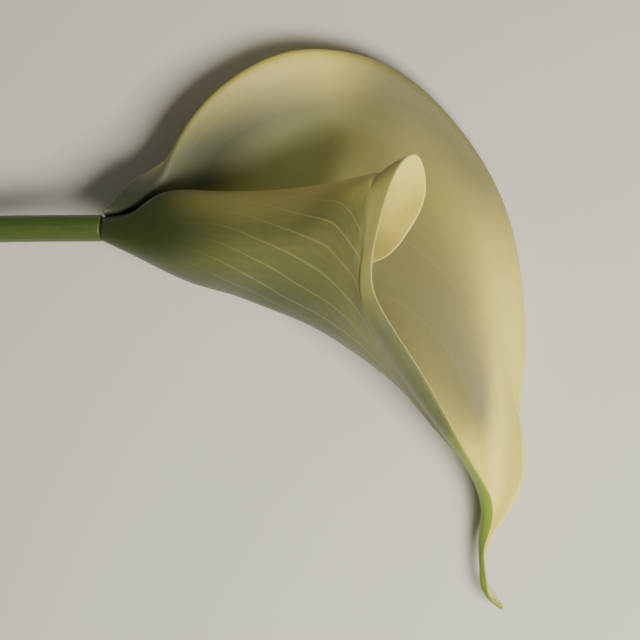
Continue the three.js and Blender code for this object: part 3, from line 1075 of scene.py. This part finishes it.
        # What the inner margin, the inner face, the outer margin and the outer face carry.
        layout = {
            Mark.ALONG: (rim * along[:, :1], along, rim * along[:, -1:], along),
            Mark.ACROSS: (-rim, across, rim, across),
            Mark.STRIP: (rim * strips[:, :1], strips, rim * strips[:, -1:], strips),
            Mark.OUTER: (fade[:, ::-1], none, fade, whole),
            Mark.VEIN: (0 * rim, self.inner_veins * veins, 0 * rim, self.outer_veins * veins),
        }
        low = {Mark.PALE: outer[Mark.PALE], Mark.CUSP: inner[Mark.CUSP]}
        high = {mark: outer[mark] for mark in (Mark.PALE, Mark.GREEN, Mark.CUSP)}
        for mark, face in inner.items():
            low_rim, high_rim = low.get(mark, none)[:, :1], high.get(mark, none)[:, -1:]
            layout[mark] = (rim * low_rim, face, rim * high_rim, outer[mark])
        return {mark.value: self.wrap(*parts) for mark, parts in layout.items()}

    @staticmethod
    def rim(edge: Array, normal: Array, outward: Array, half: Array, turns: Array) -> Array:
        """Rounds a margin over from the inner face to the outer one.

        Args:
            edge: Points on the margin of the middle surface.
            normal: The surface's normals there.
            outward: Directions out of the leaf.
            half: Half the thickness there.
            turns: Angles from the inner face, between 0 and pi.

        Returns:
            The rim's points for each margin point and angle.
        """
        lift = normal[:, None] * np.cos(turns)[None, :, None]
        push = outward[:, None] * np.sin(turns)[None, :, None]
        return edge[:, None] + (lift + push) * half[:, None, None]

    def build(self, datum: Datum) -> Piece:
        """Builds the sheet's mesh."""
        points, numbers = self.rings()
        faces = sweep_faces(points.shape[0], points.shape[1])
        return mesh_object("spathe_leaf", datum.place(points), faces, numbers)

    def dress(self, piece: Piece) -> None:
        """Gives the leaf its finish and ties it to the solids."""
        piece.data.materials.append(self.finish.material())
        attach(piece, BODY)
        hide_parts("spathe")


@dataclass
class Stem:
    """The full stalk, lying on its slanted cut, with the thin neck that passes into the leaf."""

    radius: float = 4.2
    cut_radius: float = 4.4
    reach: float = 120.0
    cut_slant: float = 0.35
    cut_dish: float = 0.25
    cut_shares: tuple[float, ...] = (0.05, 0.3, 0.55, 0.78, 0.92, 0.98)
    neck_reaches: tuple[float, ...] = (0.0, 7.3, 7.7, 7.8)
    neck_radii: tuple[float, ...] = (2.0, 2.0, 1.8, 0.1)
    shoulder: float = 0.6
    shoulder_steps: int = 5
    gap: float = 0.5
    base: tuple[float, float, float] = (-67.6, 28.7, 0.0)
    line: tuple[tuple[float, ...], ...] = (
        (0, -6, 0), (0.25, -2.6, 0.135), (0.6, -0.3, 0.573), (1, 0, 1),
    )
    rows: int = 180
    sides: int = 96
    start: float = 0.002
    crowding: float = 0.9
    rib_count: int = 17
    rib_depth: float = 0.07
    rib_extent: Window = Window((0.0, 0.06), (0.9, 1.0))
    slant_extent: Window = Window(fall=(0.0, 0.03))
    finish: StemSkin = field(default_factory=StemSkin)

    def path(self, ground: float) -> Callable[[Array], Array]:
        """Returns the stalk's middle line from the cut to the leaf, above this ground."""
        height = ground + self.cut_radius
        x, y, z = self.base
        end = x - self.gap
        share, side, climb = np.array(self.line).T
        points = (end - (1 - share) * self.reach, y + side, height + climb * (z - height))
        return natural_spline(share, np.stack(points, axis=-1))

    def build(self, datum: Datum) -> Piece:
        """Builds the stalk's mesh, from the middle of its cut face to the end of its neck."""
        path = self.path(-float(datum.shift_mm[2]))
        turn = 2 * np.pi * np.arange(self.sides) / self.sides
        face = np.array(self.cut_shares)
        steps = np.linspace(0, 1, self.rows) ** self.crowding
        share = np.concatenate([[0.0], self.start + (1 - self.start) * steps])
        centre, axis = path_frame(path, share)
        radius = self.cut_radius + (self.radius - self.cut_radius) * share
        ribs = self.rib_depth * (0.5 + 0.5 * np.cos(self.rib_count * turn))
        ribs = ribs * self.rib_extent.at(share)[:, None]
        slant = -self.cut_slant * self.slant_extent.at(share)

        corner = np.linspace(0, np.pi / 2, self.shoulder_steps + 1)[1:]
        shoulder_radius = self.radius - self.shoulder * (1 - np.cos(corner))
        shoulder_reach = self.shoulder * (np.sin(corner) - 1)
        tail_radius = np.concatenate([shoulder_radius, self.neck_radii])
        tail_reach = np.concatenate([shoulder_reach, self.neck_reaches])
        centre[-1] -= axis[-1] * self.shoulder
        tip, way = path_frame(path, np.array([1.0]))

        dish = axis[:1] * (self.cut_dish * (1 - face**2))[:, None]
        centres = np.concatenate([centre[:1] + dish, centre, tip + way * tail_reach[:, None]])
        first, last = np.repeat(axis[:1], len(face), 0), np.repeat(way, len(tail_reach), 0)
        axes = np.concatenate([first, axis, last])
        round_face = np.ones(self.sides)
        radii = np.concatenate(
            [
                round_face * (face * self.cut_radius)[:, None],
                radius[:, None] - ribs,
                round_face * tail_radius[:, None],
            ]
        )
        slants = np.concatenate([np.full(len(face), -self.cut_slant), slant, 0 * tail_reach])
        rings = round_rings(centres, axes, radii, slants)
        cut = np.zeros(rings.shape[:2])
        cut[: len(face)] = 1
        faces = sweep_faces(rings.shape[0], rings.shape[1])
        return mesh_object("stem_stalk", datum.place(rings), faces, {"cut": cut})

    def dress(self, piece: Piece) -> None:
        """Gives the stalk its finish and ties it to the solids."""
        piece.data.materials.append(self.finish.material())
        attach(piece, BODY)
        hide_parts("stem")


@dataclass
class Spadix:
    """The club up the middle of the roll, crowded all over with small florets."""

    radius: float = 4.2
    base_radius: float = 3.0
    taper: float = 0.25
    end_share: float = 0.9
    end_length: float = 0.102
    swell_share: float = 0.12
    floret_count: int = 1250
    floret_size: float = 1.3
    floret_rise: float = 0.45
    floret_flatness: float = 0.8
    floret_sides: int = 7
    floret_rings: int = 5
    size_range: tuple[float, float] = (0.88, 1.1)
    lower_growth: float = 1.3
    lower_share: float = 0.22
    lower_full: float = 0.12
    lower_fade: tuple[float, float] = (0.6, 1.1)
    rows: int = 130
    sides: int = 40
    seed: int = 5
    finish: PollenFlorets = field(default_factory=PollenFlorets)

    def core(self, datum: Datum) -> Piece:
        """Builds the bare club under the florets, with the map that they are laid out on."""
        path = natural_spline([p[0] for p in SPADIX_PATH], [p[1:] for p in SPADIX_PATH])
        share = np.sin(np.linspace(0, np.pi / 2, self.rows + 1))
        past = (share - self.end_share) / self.end_length
        round_end = np.sqrt(np.clip(1 - past**2, 0, 1))
        end = np.where(share > self.end_share, round_end, 1)
        swell = np.minimum(share / self.swell_share, 1)
        body = self.base_radius + (self.radius - self.base_radius) * swell * (2 - swell)
        radius = (body * (1 - self.taper * share**2) - self.floret_rise) * end
        centre, axis = path_frame(path, share)
        rings = round_rings(centre, axis, radius[:, None] * np.ones(self.sides), 0 * share)
        lower = 1 - smooth(*self.lower_fade, share / self.lower_share)
        piece = mesh_object(
            "spadix_club", datum.place(rings), sweep_faces(*rings.shape[:2]),
            {"lower": np.repeat(lower, self.sides)},
        )
        lattice = piece.data.attributes.new("lattice", "FLOAT2", "CORNER")
        spots = np.zeros((len(piece.data.loops), 2), np.float32)
        i, j = np.divmod(np.arange(self.rows * self.sides), self.sides)
        for corner, (down, over) in enumerate(((0, 0), (1, 0), (1, 1), (0, 1))):
            spots[corner : 4 * len(i) : 4, 0] = (j + over) / self.sides
            spots[corner : 4 * len(i) : 4, 1] = share[i + down]
        lattice.data.foreach_set("vector", spots.ravel())
        return piece

    def floret_tree(self, material: Material) -> Tree:
        """Builds the tree that sets florets on the club in a golden-angle lattice.

        Args:
            material: The finish of club and florets.

        Returns:
            The geometry node tree, with named inputs for the count, the size and the seed.
        """
        tree = bpy.data.node_groups.new("floret_lattice", "GeometryNodeTree")
        add = partial(add_node, tree)
        for name, way, kind in (
            ("Geometry", "OUTPUT", "Geometry"), ("Geometry", "INPUT", "Geometry"),
            ("Count", "INPUT", "Int"), ("Size", "INPUT", "Float"), ("Flatness", "INPUT", "Float"),
            ("Lower share", "INPUT", "Float"), ("Seed", "INPUT", "Int"),
        ):
            tree.interface.new_socket(name, in_out=way, socket_type="NodeSocket" + kind)
        given = add("NodeGroupInput").outputs
        club = given["Geometry"]

        # Each floret stands one golden angle round from the last, and evenly further along.
        index = add("GeometryNodeInputIndex").outputs[0]
        golden = (3 - math.sqrt(5)) / 2
        turns = add("ShaderNodeMath", TIMES, {0: index, 1: golden})
        around = add("ShaderNodeMath", {"operation": "FRACT"}, {0: turns.outputs[0]})
        nth = add("ShaderNodeMath", {"operation": "ADD"}, {0: index, 1: 0.5})
        share = add(
            "ShaderNodeMath", {"operation": "DIVIDE"}, {0: nth.outputs[0], 1: given["Count"]}
        )
        spot = add(
            "ShaderNodeCombineXYZ", {}, {"X": around.outputs[0], "Y": share.outputs[0]}
        ).outputs[0]
        lattice = add(
            "GeometryNodeInputNamedAttribute", VECTORS, {"Name": "lattice"},
        ).outputs["Attribute"]
        place, outward = (
            add(
                "GeometryNodeSampleUVSurface", VECTORS,
                {"Mesh": club, "Value": add(kind).outputs[0], "UV Map": lattice, "Sample UV": spot},
            ).outputs["Value"]
            for kind in ("GeometryNodeInputPosition", "GeometryNodeInputNormal")
        )
        points = add(
            "GeometryNodePoints", {}, {"Count": given["Count"], "Position": place}
        ).outputs[0]
        facing = add(
            "FunctionNodeAlignRotationToVector", {"axis": "Z"}, {"Vector": outward}
        ).outputs[0]

        # The lowest florets are larger; all differ a little.
        low = add(
            "ShaderNodeMapRange", {},
            {
                "Value": share.outputs[0], "From Min": given["Lower share"], "From Max": 0.0,
                "To Min": 1.0, "To Max": self.lower_growth,
            },
        ).outputs["Result"]
        vary = add(
            "FunctionNodeRandomValue", {"data_type": "FLOAT"},
            {2: self.size_range[0], 3: self.size_range[1], "Seed": given["Seed"]},
        ).outputs[1]
        scale = add("ShaderNodeMath", TIMES, {0: low, 1: vary})
        bead = add(
            "GeometryNodeMeshUVSphere", {},
            {"Segments": self.floret_sides, "Rings": self.floret_rings, "Radius": given["Size"]},
        ).outputs["Mesh"]
        flat = add(
            "ShaderNodeCombineXYZ", {}, {"X": 1.0, "Y": 1.0, "Z": given["Flatness"]}
        ).outputs[0]
        bead = add("GeometryNodeTransform", {}, {"Geometry": bead, "Scale": flat}).outputs[0]
        florets = add(
            "GeometryNodeInstanceOnPoints", {},
            {"Points": points, "Instance": bead, "Rotation": facing, "Scale": scale.outputs[0]},
        ).outputs[0]
        lower = add(
            "ShaderNodeMapRange", EASED,
            {
                "Value": share.outputs[0], "From Min": given["Lower share"],
                "From Max": self.lower_full,
            },
        ).outputs["Result"]
        florets = add(
            "GeometryNodeStoreNamedAttribute", {"domain": "INSTANCE"},
            {"Geometry": florets, "Name": "lower", "Value": lower},
        ).outputs[0]
        florets = add("GeometryNodeRealizeInstances", {}, {"Geometry": florets}).outputs[0]
        join = add("GeometryNodeJoinGeometry")
        tree.links.new(club, join.inputs[0])
        tree.links.new(florets, join.inputs[0])
        shaded = add("GeometryNodeSetShadeSmooth", {}, {"Geometry": join.outputs[0]}).outputs[0]
        dressed = add(
            "GeometryNodeSetMaterial", {}, {"Geometry": shaded, "Material": material}
        ).outputs[0]
        add("NodeGroupOutput", {}, {0: dressed})
        return tree

    def build(self, datum: Datum) -> Piece:
        """Builds the club with its florets as one mesh."""
        tree = self.floret_tree(self.finish.material())
        sizes = {
            "Count": self.floret_count,
            "Size": self.floret_size / 2 * MM,
            "Flatness": self.floret_flatness,
            "Lower share": self.lower_share,
            "Seed": self.seed,
        }
        return bake_nodes(self.core(datum), tree, sizes)

    def dress(self, piece: Piece) -> None:
        """Ties the club to the solids."""
        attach(piece, BODY)
        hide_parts("spadix")


@dataclass
class Stage:
    """The floor, the lights and the camera that looks straight down."""

    camera_height: float = 700.0
    pixels_per_mm: float = 3.2
    picture_pixels: int = 640
    sensor: float = 36.0
    floor_size: float = 3000.0
    key_place: tuple[float, float, float] = (310.0, -230.0, 550.0)
    key_aim: tuple[float, float, float] = (40.0, 0.0, 20.0)
    key_size: float = 300.0
    key_watts: float = 6.4
    key_colour: tuple[float, float, float] = (1.0, 0.95, 0.82)
    sky_colour: tuple[float, float, float, float] = (1.0, 0.98, 0.93, 1.0)
    sky_strength: float = 0.13
    paper: StudioPaper = field(default_factory=StudioPaper)

    def build(self, datum: Datum) -> None:
        """Places everything that isn't the flower."""
        self.floor()
        self.camera(datum)
        self.lights()

    def floor(self) -> None:
        """Lays the paper under the flower."""
        half = self.floor_size / 2 * MM
        corners = np.array([(-half, -half, 0), (half, -half, 0), (half, half, 0), (-half, half, 0)])
        sheet = mesh_object("floor", corners, [(0, 1, 2, 3)])
        sheet.data.materials.append(self.paper.material())

    def camera(self, datum: Datum) -> None:
        """Looks straight down on the middle of the drawing."""
        lens = bpy.data.cameras.new("camera")
        lens.sensor_width = self.sensor
        width_mm = self.picture_pixels / self.pixels_per_mm
        lens.lens = self.sensor * self.camera_height / width_mm
        lens.clip_end = 2 * self.floor_size * MM
        camera = bpy.data.objects.new("camera", lens)
        camera.location = datum.place(np.array((0.0, 0.0, self.camera_height)))
        bpy.context.scene.collection.objects.link(camera)
        bpy.context.scene.camera = camera

    def lights(self) -> None:
        """Hangs one soft light low at the right and a faint sky all round."""
        lamp = bpy.data.lights.new("key", "AREA")
        lamp.size, lamp.energy, lamp.color = self.key_size * MM, self.key_watts, self.key_colour
        key = bpy.data.objects.new("key", lamp)
        key.location = Vector(self.key_place) * MM
        way = Vector(self.key_aim) * MM - key.location
        key.rotation_euler = way.to_track_quat("-Z", "Y").to_euler()
        bpy.context.scene.collection.objects.link(key)
        world = bpy.data.worlds.new("studio")
        world.use_nodes = True
        sky = world.node_tree.nodes["Background"]
        sky.inputs["Color"].default_value = self.sky_colour
        sky.inputs["Strength"].default_value = self.sky_strength
        bpy.context.scene.world = world


def find_datum(spathe: Spathe) -> Datum:
    """Finds how the drawing's datum lies in the solids' frame, from the spathe's box.

    Args:
        spathe: The leaf as drawn.

    Returns:
        The datum that lays the leaf on its solid.
    """
    points = spathe.rings()[0].reshape(-1, 3)
    drawn = (points.min(0) + points.max(0)) / 2
    low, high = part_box("spathe")
    return Datum((np.array(low) + np.array(high)) / 2 / MM - drawn)


def main() -> None:
    """Builds the pieces in order."""
    logging.basicConfig(level=logging.INFO, format="%(name)s: %(message)s")
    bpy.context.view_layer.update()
    spathe = Spathe()
    datum = find_datum(spathe)
    for part in (spathe, Stem(), Spadix()):
        piece = part.build(datum)
        part.dress(piece)
        LOG.info("%s: %d faces", piece.name, len(piece.data.polygons))
    Stage().build(datum)


if __name__ == "__main__":
    main()
